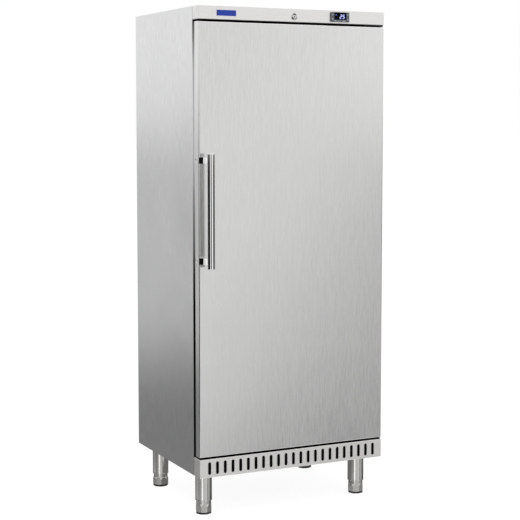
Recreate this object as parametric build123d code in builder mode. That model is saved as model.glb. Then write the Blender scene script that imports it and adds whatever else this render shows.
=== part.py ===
from build123d import *
import math
import os

os.makedirs("parts", exist_ok=True)

# Upright commercial refrigerator with one solid, right-hung stainless door.
# Origin on the floor under the middle of the overall box, +X to the right as
# seen from the front, +Y to the back, +Z up. Millimetres.

# ---------------------------------------------------------------- dimensions
W = 777.0  # overall width
HW = W / 2
H = 1895.0  # overall height
YF = -286.5  # front plane of door, control fascia and grille
YC = -231.5  # front face of the cabinet, behind the door
YB = 347.5  # back of the cabinet
Z0 = 160.0  # underside of the cabinet, top of the legs
T = 1.2  # outer sheet
RET = 14.0  # return flanges of the side panels

GR_TOP = 230.0  # grille
FA_BOT = 1846.0  # control fascia
TF = 1.5  # fascia and grille sheet

D_BOT, D_TOP = 237.0, 1838.0  # door
DY1 = -244.5  # back of the door
D_R = 4.5  # bend radius round the door's front

MX = 330.5  # outside of the liner at the mouth, half width
LZ0, LZ1 = 298.0, 1792.0  # outside of the liner, floor and ceiling
LYB = 288.5  # outside of the liner's back wall
LT = 2.0  # liner wall
STEP_Y = 104.0  # outside of the step over the machine compartment
STEP_Z = 448.0
MC_Y = 154.8  # machine compartment's front wall
MC_Z = 400.0  # machine compartment's ceiling
MC_F = 234.0  # sheet under the insulated floor

AX, AY = 374.5, -264.5  # door hinge axis
LOCK_Z = 1865.0
THX, THZ = 192.0, 1869.5  # thermostat centre
PLX, PLZ = -278.5, 1869.5  # name plate centre

LEG_X = 331.0
LEG_YF, LEG_YR = -186.5, 250.5
LEG_POS = [(-LEG_X, LEG_YF), (LEG_X, LEG_YF), (-LEG_X, LEG_YR), (LEG_X, LEG_YR)]
LEG_NAMES = ["front_left", "front_right", "rear_left", "rear_right"]
FOOT_TURN = [3.6, 41.9, 28.3, 12.0]  # how far each foot happens to be screwed round

BAR_X, BAR_Y, BAR_R = -361.5, -334.0, 13.5  # handle bar
BAR_Z0, BAR_Z1 = 942.0, 1362.0
POST_Z = [968.0, 1336.0]

SHELF_Z = [480.0, 770.0, 1060.0, 1350.0]  # centre of each shelf's frame wire
PIL_Y = [-150.0, 215.0]

EFX, EFZ = 0.0, 1715.0  # evaporator fan axis
CFX, CFZ = 170.0, 276.0  # condenser fan axis


def block(x0, x1, y0, y1, z0, z1, mode=Mode.ADD):
    """A box between two corners, joined to the part being made."""
    with Locations(((x0 + x1) / 2, (y0 + y1) / 2, (z0 + z1) / 2)):
        Box(x1 - x0, y1 - y0, z1 - z0, mode=mode)


def rod(axis, r, a, b, u, v, mode=Mode.ADD):
    """A round rod along X, Y or Z from a to b; u and v are the other two coordinates in X, Y, Z order."""
    m = (a + b) / 2
    if axis == "X":
        at, turn = (m, u, v), (0, 90, 0)
    elif axis == "Y":
        at, turn = (u, m, v), (90, 0, 0)
    else:
        at, turn = (u, v, m), (0, 0, 0)
    with Locations(at):
        Cylinder(r, b - a, rotation=turn, mode=mode)


def save(part, label):
    part.label = label
    export_step(part, "parts/" + label + ".step")


# ------------------------------------------------------------ cabinet panels
with BuildPart() as side_panel_left:
    block(-HW, -HW + T, YC, YB, Z0, H)
    block(-HW, -HW + RET, YC, YC + T, Z0, H - T)
    block(-HW, -HW + RET, YB - T, YB, Z0, H - T)
    corners = side_panel_left.edges().filter_by(Axis.Z).group_by(Axis.X)[0]
    fillet(corners, 2.0)
save(side_panel_left.part, "side_panel_left")

with BuildPart() as side_panel_right:
    block(HW - T, HW, YC, YB, Z0, H)
    block(HW - RET, HW, YC, YC + T, Z0, H - T)
    block(HW - RET, HW, YB - T, YB, Z0, H - T)
    corners = side_panel_right.edges().filter_by(Axis.Z).group_by(Axis.X)[-1]
    fillet(corners, 2.0)
save(side_panel_right.part, "side_panel_right")

with BuildPart() as top_panel:
    block(-HW + T, HW - T, YC, YB, H - T, H)
save(top_panel.part, "top_panel")

with BuildPart() as back_panel:
    block(-HW + RET + 0.2, HW - RET - 0.2, YB - T, YB, MC_Z, H - T)
    # two shallow stiffening swages
    for zs in (800.0, 1400.0):
        block(-300, 300, YB - T, YB - T + 0.5, zs - 15, zs + 15, mode=Mode.SUBTRACT)
save(back_panel.part, "back_panel")

with BuildPart() as base_plate:
    block(-HW + T, HW - T, YC + T, YB - T, Z0, Z0 + 2)
    for lx, ly in LEG_POS:
        rod("Z", 5.25, Z0 - 1, Z0 + 3, lx, ly, mode=Mode.SUBTRACT)
    # air inlet slots between the compartment and the floor
    with BuildSketch(Plane.XY.offset(Z0)):
        with GridLocations(60, 0, 5, 1):
            SlotOverall(160, 12, rotation=90)
    extrude(amount=2, mode=Mode.SUBTRACT)
save(base_plate.part, "base_plate")

with BuildPart() as compartment_shroud:
    block(-HW + T, HW - T, YC + T, MC_Y + T, MC_F, MC_F + T)
    block(-HW + T, HW - T, MC_Y, MC_Y + T, MC_F + T, MC_Z)
    block(-HW + T, HW - T, MC_Y + T, YB - T, MC_Z - T, MC_Z)
save(compartment_shroud.part, "compartment_shroud")

with BuildPart() as insulation_foam:
    block(-HW + T, HW - T, YC + T, YB - T, MC_F + T, H - T)
    block(-HW, HW, MC_Y, YB, MC_F, MC_Z, mode=Mode.SUBTRACT)
    block(-MX, MX, YC, STEP_Y, LZ0, STEP_Z, mode=Mode.SUBTRACT)
    block(-MX, MX, YC, LYB, STEP_Z, LZ1, mode=Mode.SUBTRACT)
save(insulation_foam.part, "insulation_foam")

with BuildPart() as front_frame:
    block(-HW + RET + 0.2, HW - RET - 0.2, YC, YC + T, Z0, H - T)
    block(-MX, MX, YC - 1, YC + T + 1, LZ0, LZ1, mode=Mode.SUBTRACT)
    block(-345, 290, YC - 1, YC + T + 1, 167, 227, mode=Mode.SUBTRACT)
save(front_frame.part, "front_frame")

with BuildPart() as liner_cavity:
    block(-MX + LT, MX - LT, YC - 5, STEP_Y - LT, LZ0 + LT, LZ1 - LT)
    block(-MX + LT, MX - LT, STEP_Y - LT, LYB - LT, STEP_Z + LT, LZ1 - LT)
    fillet(liner_cavity.edges().filter_by(Axis.Y).group_by(Axis.Z)[-1], 10.0)
    fillet(liner_cavity.edges().filter_by(Axis.Y).group_by(Axis.Z)[0], 10.0)

with BuildPart() as inner_liner:
    block(-MX, MX, YC, STEP_Y, LZ0, STEP_Z)
    block(-MX, MX, YC, LYB, STEP_Z, LZ1)
    add(liner_cavity.part, mode=Mode.SUBTRACT)
save(inner_liner.part, "inner_liner")

# ------------------------------------------------- control fascia and grille
with BuildPart() as control_fascia:
    block(-HW, HW, YF, YC, FA_BOT, H)
    front = control_fascia.edges().filter_by(Axis.Z).group_by(Axis.Y)[0]
    fillet(front, 3.0)
    fillet(
        control_fascia.edges().filter_by(Axis.X).group_by(Axis.Y)[0].group_by(Axis.Z)[-1],
        1.4,
    )
    fillet(
        control_fascia.edges().filter_by(Axis.X).group_by(Axis.Y)[0].group_by(Axis.Z)[0],
        1.3,
    )
    block(-HW + TF, HW - TF, YF + TF, YC + 1, FA_BOT + TF, H - TF, mode=Mode.SUBTRACT)
    block(-HW + TF, HW - TF, -240.0, YC + 1, FA_BOT - 1, FA_BOT + TF, mode=Mode.SUBTRACT)
    # lock hole, thermostat cut-out, and the slot the lock's cam comes down through
    rod("Y", 9.4, YF - 1, YF + TF + 1, 0, LOCK_Z, mode=Mode.SUBTRACT)
    block(THX - 35.5, THX + 35.5, YF - 1, YF + TF + 1, THZ - 14.5, THZ + 14.5, mode=Mode.SUBTRACT)
    block(-9, 36.5, -267, -258, FA_BOT - 1, FA_BOT + TF + 1, mode=Mode.SUBTRACT)
save(control_fascia.part, "control_fascia")

with BuildPart() as blank_nameplate:
    with BuildSketch(Plane.XZ.offset(-YF)):
        with Locations((PLX, PLZ)):
            RectangleRounded(80, 23, 2.5)
    extrude(amount=1.2)
    fillet(blank_nameplate.faces().sort_by(Axis.Y)[0].edges(), 0.5)
save(blank_nameplate.part, "blank_nameplate")

with BuildPart() as front_grille:
    block(-HW, HW, YF, YC, Z0, GR_TOP)
    fillet(front_grille.edges().filter_by(Axis.Z).group_by(Axis.Y)[0], 3.0)
    fillet(front_grille.edges().filter_by(Axis.X).group_by(Axis.Y)[0], 1.3)
    block(-HW + TF, HW - TF, YF + TF, YC + 1, Z0 + TF, GR_TOP - TF, mode=Mode.SUBTRACT)
    block(-HW + TF, HW - TF, -240.0, YC + 1, Z0 - 1, GR_TOP + 1, mode=Mode.SUBTRACT)
    with BuildSketch(Plane.XZ.offset(-YF - TF - 1)):
        with Locations((0, (Z0 + GR_TOP) / 2)):
            with GridLocations(31.8, 0, 23, 1):
                SlotOverall(48, 12.3, rotation=90)
    extrude(amount=TF + 2, mode=Mode.SUBTRACT)
save(front_grille.part, "front_grille")

# ------------------------------------------------------------------ cam lock
with BuildPart() as lock_housing:
    rod("Y", 11.75, YF - 2.2, YF, 0, LOCK_Z)
    fillet(lock_housing.faces().sort_by(Axis.Y)[0].edges(), 1.0)
    rod("Y", 9.2, YF, -265.0, 0, LOCK_Z)
    rod("Y", 7.05, YF - 3, -264, 0, LOCK_Z, mode=Mode.SUBTRACT)
save(lock_housing.part, "lock_housing")

with BuildPart() as lock_cylinder:
    rod("Y", 7.0, YF - 2.6, -264.8, 0, LOCK_Z)
    fillet(lock_cylinder.faces().sort_by(Axis.Y)[0].edges(), 0.5)
    # keyway
    block(-0.9, 0.9, YF - 3, YF + 8, LOCK_Z - 4, LOCK_Z + 4, mode=Mode.SUBTRACT)
    # cam on the back of the plug, pointing sideways when unlocked
    with BuildSketch(Plane.XZ.offset(264.8)):
        with Locations((0, LOCK_Z)):
            Circle(9.0)
            with Locations((16.0, 0)):
                Rectangle(32.0, 12.0)
            with Locations((32.0, 0)):
                Circle(6.0)
    extrude(amount=-2.6)
    rod("Y", 4.0, -262.3, -259.5, 0, LOCK_Z)
save(lock_cylinder.part, "lock_cylinder")

# --------------------------------------------------------- digital thermostat
KEY_X = [THX - 32.3, THX + 33.3]
KEY_Z = [1878.5, 1861.5]
with BuildPart() as thermostat_body:
    with BuildSketch(Plane.XZ.offset(-YF)):
        with Locations((THX, THZ)):
            RectangleRounded(81, 36.5, 3)
    extrude(amount=4.5)
    fillet(thermostat_body.faces().sort_by(Axis.Y)[0].edges(), 1.0)
    block(THX - 35.2, THX + 35.2, YF, -242.0, THZ - 14.2, THZ + 14.2)
    block(THX - 33.5, THX + 33.5, YF + 2, -244.0, THZ - 12.5, THZ + 12.5, mode=Mode.SUBTRACT)
    # window recess and four key pockets
    block(THX - 24.6, THX + 27.0, YF - 5, YF - 2.5, 1859.5, 1886.9, mode=Mode.SUBTRACT)
    for kx in KEY_X:
        for kz in KEY_Z:
            block(kx - 4.6, kx + 4.6, YF - 5, YF - 1.0, kz - 3.6, kz + 3.6, mode=Mode.SUBTRACT)
save(thermostat_body.part, "thermostat_body")

with BuildPart() as thermostat_window:
    block(THX - 24.5, THX + 26.9, YF - 4.3, YF - 2.5, 1859.6, 1886.8)
save(thermostat_window.part, "thermostat_window")

KEY_NAMES = ["key_up", "key_down", "key_set", "key_light"]
KEY_POS = [(x, z) for x in KEY_X for z in KEY_Z]
for name, (kx, kz) in zip(KEY_NAMES, KEY_POS):
    with BuildPart() as key:
        block(kx - 4.35, kx + 4.35, YF - 5.4, YF - 1.95, kz - 3.35, kz + 3.35)
        fillet(key.faces().sort_by(Axis.Y)[0].edges(), 0.6)
    save(key.part, name)

# ------------------------------------------------------------------- hinges
SCREW_X = [318.0, 338.0, 358.0]
with BuildPart() as hinge_bracket_top:
    block(301.5, 374.0, YC - 4, YC, 1840, 1886)
    block(301.5, 388.0, -284.0, YC - 4, 1840, 1845.4)
    fillet(
        hinge_bracket_top.edges().filter_by(Axis.Z).group_by(Axis.Y)[0], 7.0
    )
    rod("Z", 4.0, 1822, 1840, AX, AY)
    for sx in SCREW_X:
        rod("Y", 3.2, YC - 5, YC + 1, sx, 1866, mode=Mode.SUBTRACT)
save(hinge_bracket_top.part, "hinge_bracket_top")

with BuildPart() as hinge_bracket_bottom:
    block(301.5, 374.0, YC - 4, YC, 188, 235.5)
    block(301.5, 388.0, -284.0, YC - 4, 230.6, 235.5)
    fillet(
        hinge_bracket_bottom.edges().filter_by(Axis.Z).group_by(Axis.Y)[0], 7.0
    )
    rod("Z", 4.0, 235.5, 256, AX, AY)
    for sx in SCREW_X:
        rod("Y", 3.2, YC - 5, YC + 1, sx, 208, mode=Mode.SUBTRACT)
save(hinge_bracket_bottom.part, "hinge_bracket_bottom")

REAR_SCREWS = [(x, z) for x in (-360.0, 0.0, 360.0) for z in (174.0, 387.0)]
with BuildPart() as cabinet_screws:
    for sx in SCREW_X:
        for sz in (1866.0, 208.0):
            rod("Y", 3.0, YC - 4, YC, sx, sz)
            rod("Y", 5.5, YC - 7, YC - 4, sx, sz)
            rod("Y", 1.6, YC - 7.5, YC - 5.5, sx, sz, mode=Mode.SUBTRACT)
    for sx, sz in REAR_SCREWS:
        rod("Y", 3.0, 327.2, 331.2, sx, sz)
        rod("Y", 5.5, 331.2, 334.2, sx, sz)
        rod("Y", 1.6, 332.7, 334.7, sx, sz, mode=Mode.SUBTRACT)
save(cabinet_screws.part, "cabinet_screws")

# --------------------------------------------------- shelves and their rails
with BuildPart() as shelf_0:
    with BuildLine() as rim:
        FilletPolyline((-315, -192), (315, -192), (315, 268), (-315, 268), radius=16, close=True)
    with BuildSketch(Plane(origin=(0, -192, 0), x_dir=(0, 1, 0), z_dir=(1, 0, 0))):
        Circle(3.0)
    sweep(path=rim.line)
    with Locations((0, -40, 0), (0, 120, 0)):
        Cylinder(3.0, 627, rotation=(0, 90, 0))
    with Locations((0, 38, 4.3)):
        with GridLocations(31.0, 0, 20, 1):
            Cylinder(1.8, 466, rotation=(90, 0, 0))
for i, z in enumerate(SHELF_Z):
    with BuildPart() as shelf:
        add(shelf_0.part.moved(Location((0, 0, z))))
    save(shelf.part, "wire_shelf_%d" % (i + 1))

with BuildPart() as shelf_pilasters:
    for side in (-1, 1):
        for py in PIL_Y:
            xa, xb = sorted((side * (MX - LT), side * 324.0))
            xc, xd = sorted((side * 324.0, side * 322.5))
            block(xa, xb, py - 9, py - 7.5, 460, 1620)
            block(xa, xb, py + 7.5, py + 9, 460, 1620)
            block(xc, xd, py - 9, py + 9, 460, 1620)
    with BuildSketch(Plane.YZ.offset(-330)):
        for py in PIL_Y:
            with Locations((py, 1040)):
                with GridLocations(0, 25, 1, 45):
                    Rectangle(9, 4)
    extrude(amount=660, mode=Mode.SUBTRACT)
save(shelf_pilasters.part, "shelf_pilasters")

with BuildPart() as shelf_clips:
    for side in (-1, 1):
        for py in PIL_Y:
            for z in SHELF_Z:
                xa, xb = sorted((side * 322.5, side * 308.0))
                block(xa, xb, py - 7, py + 7, z - 6, z - 3)
                xa, xb = sorted((side * 322.5, side * 320.0))
                block(xa, xb, py - 7, py + 7, z - 14, z - 6)
save(shelf_clips.part, "shelf_clips")

# ---------------------------------------------------------------- evaporator
with BuildPart() as evaporator_cover:
    block(-290, 290, -60, 286.5, 1640, 1790)
    fillet(evaporator_cover.edges().filter_by(Axis.X).group_by(Axis.Y)[0].sort_by(Axis.Z)[0], 8.0)
    block(-288, 288, -58, 290, 1642, 1795, mode=Mode.SUBTRACT)
    rod("Y", 60, -61, -57, EFX, EFZ, mode=Mode.SUBTRACT)
    with BuildSketch(Plane.XY.offset(1640)):
        with Locations((0, 190)):
            with GridLocations(36, 0, 14, 1):
                SlotOverall(110, 9, rotation=90)
    extrude(amount=2, mode=Mode.SUBTRACT)
save(evaporator_cover.part, "evaporator_cover")

with BuildPart() as evaporator_coil:
    with Locations((0, 90, 1718)):
        with GridLocations(14, 0, 31, 1):
            Box(0.8, 100, 90)
    with Locations((0, 90, 1718)):
        for ty in (-32, 0, 32):
            for tz in (-28, 0, 28):
                with Locations((0, ty, tz)):
                    Cylinder(5.0, 440, rotation=(0, 90, 0))
save(evaporator_coil.part, "evaporator_coil")

with BuildPart() as evaporator_fan_motor:
    rod("Y", 17, -40, -12, EFX, EFZ)
    fillet(evaporator_fan_motor.faces().sort_by(Axis.Y)[-1].edges(), 3)
    rod("Y", 2.5, -53, -39, EFX, EFZ)
    # flat strap across the opening with two stand-offs to the cover
    block(-66, 66, -38, -36, EFZ - 6, EFZ + 6)
    for sx in (-64.5, 64.5):
        block(sx - 1.5, sx + 1.5, -58, -36, EFZ - 6, EFZ + 6)
save(evaporator_fan_motor.part, "evaporator_fan_motor")

with BuildPart() as evaporator_fan_blade:
    rod("Y", 12, -55, -43, EFX, EFZ)
    for k in range(5):
        a = math.radians(72 * k + 18)
        d = Vector(math.cos(a), 0, math.sin(a))
        with BuildSketch(Plane(origin=Vector(EFX, -49, EFZ) + d * 10, x_dir=(0, 1, 0), z_dir=d)):
            Rectangle(14, 1.8, rotation=55)
        with BuildSketch(Plane(origin=Vector(EFX, -49, EFZ) + d * 52, x_dir=(0, 1, 0), z_dir=d)):
            Rectangle(26, 1.8, rotation=68)
        loft()
    rod("Y", 2.55, -60, -40, EFX, EFZ, mode=Mode.SUBTRACT)
save(evaporator_fan_blade.part, "evaporator_fan_blade")

with BuildPart() as evaporator_fan_guard:
    for gr in (18, 31, 44, 57):
        with Locations(Location((EFX, -63.6, EFZ), (90, 0, 0))):
            Torus(gr, 1.3)
    rod("Z", 1.4, EFZ - 66, EFZ + 66, EFX, -61.6)
    rod("X", 1.4, -66, 66, -61.6, EFZ)
    with Locations((EFX, -61.3, EFZ - 66), (EFX, -61.3, EFZ + 66), (EFX - 66, -61.3, EFZ), (EFX + 66, -61.3, EFZ)):
        Box(10, 2.6, 10)
save(evaporator_fan_guard.part, "evaporator_fan_guard")

with BuildPart() as interior_lamp:
    block(-140, 140, -200, -158, 1772, 1790)
    fillet(interior_lamp.edges().filter_by(Axis.X).group_by(Axis.Z)[0], 8.0)
save(interior_lamp.part, "interior_lamp")

# --------------------------------------------------------- machine compartment
CX, CY = -190.0, 240.0  # compressor
with BuildPart() as compressor:
    with BuildSketch(Plane.XY.offset(190)):
        with Locations((CX, CY)):
            Ellipse(98, 72)
    extrude(amount=150)
    fillet(compressor.faces().sort_by(Axis.Z)[-1].edges(), 34)
    fillet(compressor.faces().sort_by(Axis.Z)[0].edges(), 22)
    with BuildSketch(Plane.XY.offset(262)):
        with Locations((CX, CY)):
            Ellipse(102, 76)
    extrude(amount=6)
    block(CX - 100, CX - 60, CY - 80, CY + 80, 180, 184)
    block(CX + 60, CX + 100, CY - 80, CY + 80, 180, 184)
    block(CX - 100, CX + 100, CY - 30, CY + 30, 180, 196)
    for mx in (CX - 85, CX + 85):
        for my in (CY - 65, CY + 65):
            rod("Z", 5, 179, 185, mx, my, mode=Mode.SUBTRACT)
save(compressor.part, "compressor")

with BuildPart() as compressor_mounts:
    for mx in (CX - 85, CX + 85):
        for my in (CY - 65, CY + 65):
            rod("Z", 12, 162, 180, mx, my)
            rod("Z", 4.8, 180, 190, mx, my)
            rod("Z", 8, 184.2, 189, mx, my)
save(compressor_mounts.part, "compressor_mounts")

with BuildPart() as compressor_terminal_cover:
    block(CX + 88, CX + 122, CY - 34, CY + 34, 212, 258)
    fillet(compressor_terminal_cover.faces().sort_by(Axis.X)[-1].edges(), 6)
    with BuildSketch(Plane.XY.offset(200)):
        with Locations((CX, CY)):
            Ellipse(98.2, 72.2)
    extrude(amount=80, mode=Mode.SUBTRACT)
save(compressor_terminal_cover.part, "compressor_terminal_cover")

with BuildPart() as condenser_coil:
    with Locations((CFX, 190, 276)):
        with GridLocations(10, 0, 27, 1):
            Box(0.8, 44, 210)
    with Locations((CFX, 190, 276)):
        for ty in (-11, 11):
            for tz in (-84, -42, 0, 42, 84):
                with Locations((0, ty, tz)):
                    Cylinder(4.75, 290, rotation=(0, 90, 0))
    block(CFX - 138, CFX - 136.5, 164, 220, 162, 392)
    block(CFX + 136.5, CFX + 138, 164, 220, 162, 392)
save(condenser_coil.part, "condenser_coil")

with BuildPart() as condenser_fan_shroud:
    block(CFX - 138, CFX + 138, 222, 223.5, 162, 392)
    rod("Y", 98, 222, 250, CFX, CFZ)
    rod("Y", 96.5, 220, 252, CFX, CFZ, mode=Mode.SUBTRACT)
save(condenser_fan_shroud.part, "condenser_fan_shroud")

with BuildPart() as condenser_fan_motor:
    rod("Y", 36, 258, 306, CFX, CFZ)
    fillet(condenser_fan_motor.faces().sort_by(Axis.Y)[-1].edges(), 6)
    rod("Y", 3.5, 228, 259, CFX, CFZ)
    block(CFX - 110, CFX + 110, 262, 264.5, CFZ - 9, CFZ + 9)
    for sx in (-109, 109):
        block(CFX + sx - 1.2, CFX + sx + 1.2, 223.5, 264.5, CFZ - 9, CFZ + 9)
save(condenser_fan_motor.part, "condenser_fan_motor")

with BuildPart() as condenser_fan_blade:
    rod("Y", 20, 230, 250, CFX, CFZ)
    for k in range(5):
        a = math.radians(72 * k + 18)
        d = Vector(math.cos(a), 0, math.sin(a))
        with BuildSketch(Plane(origin=Vector(CFX, 239, CFZ) + d * 17, x_dir=(0, 1, 0), z_dir=d)):
            Rectangle(24, 2.0, rotation=50)
        with BuildSketch(Plane(origin=Vector(CFX, 239, CFZ) + d * 90, x_dir=(0, 1, 0), z_dir=d)):
            Rectangle(48, 2.0, rotation=66)
        loft()
    rod("Y", 3.55, 220, 256, CFX, CFZ, mode=Mode.SUBTRACT)
save(condenser_fan_blade.part, "condenser_fan_blade")

with BuildPart() as evaporation_tray:
    block(-300, -60, -90, 110, 162, 202)
    fillet(evaporation_tray.edges().filter_by(Axis.Z), 12)
    block(-298, -62, -88, 108, 164, 203, mode=Mode.SUBTRACT)
save(evaporation_tray.part, "evaporation_tray")

with BuildPart() as suction_pipe:
    # from the pot up into the insulation
    with BuildLine() as suction:
        FilletPolyline((CX - 40, 240, 340), (CX - 40, 240, 368), (CX - 110, 300, 368), (CX - 110, 300, 398.8), radius=12)
    with BuildSketch(Plane(origin=(CX - 40, 240, 340), z_dir=(0, 0, 1))):
        Circle(4.0)
    sweep(path=suction.line)
with BuildPart() as discharge_pipe:
    with BuildLine() as discharge:
        FilletPolyline((CX + 30, 240, 340), (CX + 30, 240, 372), (10, 240, 372), (10, 201, 372), (10, 201, 360), (24.8, 201, 360), radius=5)
    with BuildSketch(Plane(origin=(CX + 30, 240, 340), z_dir=(0, 0, 1))):
        Circle(3.2)
    sweep(path=discharge.line)
with BuildPart() as refrigerant_pipes:
    # the two lines, and the filter drier beside the condenser
    add(suction_pipe.part)
    add(discharge_pipe.part)
    rod("Z", 9.5, 200, 290, 5, 180)
    rod("Z", 3.0, 290, 320, 5, 180)
    rod("Z", 3.0, 186, 200, 5, 180)
    rod("X", 3.0, 2, 24.8, 180, 187)
save(refrigerant_pipes.part, "refrigerant_pipes")

with BuildPart() as rear_cover:
    block(-HW + T, HW - T, 330, 331.2, Z0 + 2, MC_Z - T)
    with BuildSketch(Plane.XZ.offset(-329)):
        with Locations((-185, 280), (185, 280)):
            with GridLocations(0, 20, 1, 8):
                SlotOverall(240, 7)
    extrude(amount=-4, mode=Mode.SUBTRACT)
    for sx, sz in REAR_SCREWS:
        rod("Y", 3.2, 329, 333, sx, sz, mode=Mode.SUBTRACT)
    rod("Y", 8.2, 329, 333, -330, 190, mode=Mode.SUBTRACT)
save(rear_cover.part, "rear_cover")

with BuildPart() as cord_gland:
    rod("Y", 8.0, 318, 332, -330, 190)
    rod("Y", 13.0, 331.2, 333.2, -330, 190)
    with BuildSketch(Plane.XZ.offset(-333.2)):
        with Locations((-330, 190)):
            RegularPolygon(11.5, 6, major_radius=False)
    extrude(amount=-7)
    rod("Y", 9.0, 340.2, 346, -330, 190)
    fillet(cord_gland.faces().sort_by(Axis.Y)[-1].edges(), 3)
    rod("Y", 11.5, 321, 326, -330, 190)
    rod("Y", 4.5, 316, 348, -330, 190, mode=Mode.SUBTRACT)
save(cord_gland.part, "cord_gland")

# --------------------------------------------------------------------- legs
with BuildPart() as leg_tubes:
    for lx, ly in LEG_POS:
        rod("Z", 32.0, 51, 160, lx, ly)
        rod("Z", 30.5, 50, 156, lx, ly, mode=Mode.SUBTRACT)
        rod("Z", 30.5, 102, 114, lx, ly)
        rod("Z", 8.06, 100, 116, lx, ly, mode=Mode.SUBTRACT)
        rod("Z", 5.0, 160, 176, lx, ly)
        with BuildSketch(Plane.XY.offset(162)):
            with Locations((lx, ly)):
                RegularPolygon(8.5, 6, major_radius=False)
        extrude(amount=8)
save(leg_tubes.part, "leg_tubes")

for name, turn, (lx, ly) in zip(LEG_NAMES, FOOT_TURN, LEG_POS):
    with BuildPart() as foot:
        # octagon for a spanner, its top corners turned off, on a slightly smaller pad
        with BuildSketch(Plane.XY.offset(6.5)):
            with Locations((lx, ly)):
                RegularPolygon(28.6, 8, major_radius=False, rotation=turn)
        extrude(amount=35.5)
        with BuildSketch(Plane(origin=(lx, ly, 0), x_dir=(1, 0, 0), z_dir=(0, -1, 0))):
            with BuildLine():
                Polyline((0, 5), (31.2, 5), (31.2, 26), (28.5, 38), (28.5, 43), (0, 43), close=True)
            make_face()
        revolve(axis=Axis((lx, ly, 0), (0, 0, 1)), mode=Mode.INTERSECT)
        with BuildSketch():
            with Locations((lx, ly)):
                RegularPolygon(28.0, 8, major_radius=False, rotation=turn)
        extrude(amount=6.5)
        rod("Z", 28.5, 42, 88, lx, ly)
        chamfer(foot.faces().sort_by(Axis.Z)[-1].edges(), 2.0)
        rod("Z", 8.0, 88, 138, lx, ly)
    save(foot.part, "foot_" + name)

# --------------------------------------------------------------------- door
SCREW_Y = YF + 25.0
with BuildPart() as door_hollow:
    block(-HW + T, HW - T, YF + T, DY1 - T, D_BOT + T, D_TOP - T)
    fillet(door_hollow.faces().sort_by(Axis.Y)[0].edges(), D_R - T)

with BuildPart() as door_skin:
    block(-HW, HW, YF, DY1, D_BOT, D_TOP)
    fillet(door_skin.faces().sort_by(Axis.Y)[0].edges(), D_R)
    add(door_hollow.part, mode=Mode.SUBTRACT)
    # the back is open inside a folded return
    block(-372.5, 372.5, DY1 - 3, DY1 + 1, D_BOT + 16, D_TOP - 16, mode=Mode.SUBTRACT)
    # hinge bush holes, the slot that the lock's cam drops into, handle screw holes
    rod("Z", 7.0, D_BOT - 1, D_BOT + T + 1, AX, AY, mode=Mode.SUBTRACT)
    rod("Z", 7.0, D_TOP - T - 1, D_TOP + 1, AX, AY, mode=Mode.SUBTRACT)
    block(-9, 29, -267.2, -258, D_TOP - 3, D_TOP + 1, mode=Mode.SUBTRACT)
    for pz in POST_Z:
        rod("X", 12.0, -HW - 1, -HW + T + 1, SCREW_Y, pz, mode=Mode.SUBTRACT)
save(door_skin.part, "door_skin")

with BuildPart() as door_liner:
    block(-HW + T, HW - T, DY1 - T - 2, DY1 - T, D_BOT + T, D_TOP - T)
    block(-325, 325, DY1 - T, -236, 295, 1779)
    fillet(door_liner.edges().filter_by(Axis.Y).group_by(SortBy.LENGTH)[-1], 14)
    fillet(door_liner.faces().sort_by(Axis.Y)[-1].edges(), 3.0)
    block(-323, 323, DY1 - T - 3, -238, 297, 1777, mode=Mode.SUBTRACT)
save(door_liner.part, "door_liner")

with BuildPart() as door_foam:
    add(door_hollow.part)
    block(-HW, HW, DY1 - T - 2, DY1, D_BOT, D_TOP, mode=Mode.SUBTRACT)
    block(-323, 323, DY1 - T - 2, -238, 297, 1777)
    rod("Z", 7.0, D_BOT, D_BOT + 20, AX, AY, mode=Mode.SUBTRACT)
    rod("Z", 7.0, D_TOP - 20, D_TOP, AX, AY, mode=Mode.SUBTRACT)
    block(-31, 31, -272, -254, D_TOP - 15, D_TOP, mode=Mode.SUBTRACT)
    for pz in POST_Z:
        rod("X", 12.0, -HW, -HW + 6, SCREW_Y, pz, mode=Mode.SUBTRACT)
save(door_foam.part, "door_foam")

with BuildPart() as door_gasket:
    block(-364.5, 364.5, DY1 - T, YC - 0.4, D_BOT + 24, D_TOP - 24)
    fillet(door_gasket.edges().filter_by(Axis.Y), 6)
    block(-346.5, 346.5, DY1 - 3, YC + 1, D_BOT + 42, D_TOP - 42, mode=Mode.SUBTRACT)
save(door_gasket.part, "door_gasket")

with BuildPart() as hinge_bushes:
    rod("Z", 7.0, D_TOP - 20, D_TOP, AX, AY)
    rod("Z", 10.0, D_TOP, D_TOP + 1.5, AX, AY)
    rod("Z", 7.0, D_BOT, D_BOT + 20, AX, AY)
    rod("Z", 10.0, D_BOT - 1.4, D_BOT, AX, AY)
    rod("Z", 4.05, D_BOT - 3, D_BOT + 21, AX, AY, mode=Mode.SUBTRACT)
    rod("Z", 4.05, D_TOP - 21, D_TOP + 3, AX, AY, mode=Mode.SUBTRACT)
save(hinge_bushes.part, "hinge_bushes")

with BuildPart() as handle_bar:
    rod("Z", BAR_R, BAR_Z0, BAR_Z1, BAR_X, BAR_Y)
    fillet(handle_bar.edges().filter_by(GeomType.CIRCLE), 2.5)
save(handle_bar.part, "handle_bar")

with BuildPart() as handle_posts:
    for pz in POST_Z:
        with BuildSketch(Plane.XZ.offset(-YF + 4)):
            with Locations((BAR_X, pz)):
                RectangleRounded(24, 23, 3)
        extrude(amount=YF - 4 - BAR_Y)
    rod("Z", BAR_R, 900, 1400, BAR_X, BAR_Y, mode=Mode.SUBTRACT)
save(handle_posts.part, "handle_posts")

with BuildPart() as handle_shoes:
    for pz in POST_Z:
        block(-HW + 0.1, -346.0, YF - 4, YF, pz - 11.7, pz + 11.7)
    fillet(handle_shoes.edges().filter_by(Axis.Y), 2.0)
save(handle_shoes.part, "handle_shoes")

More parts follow.
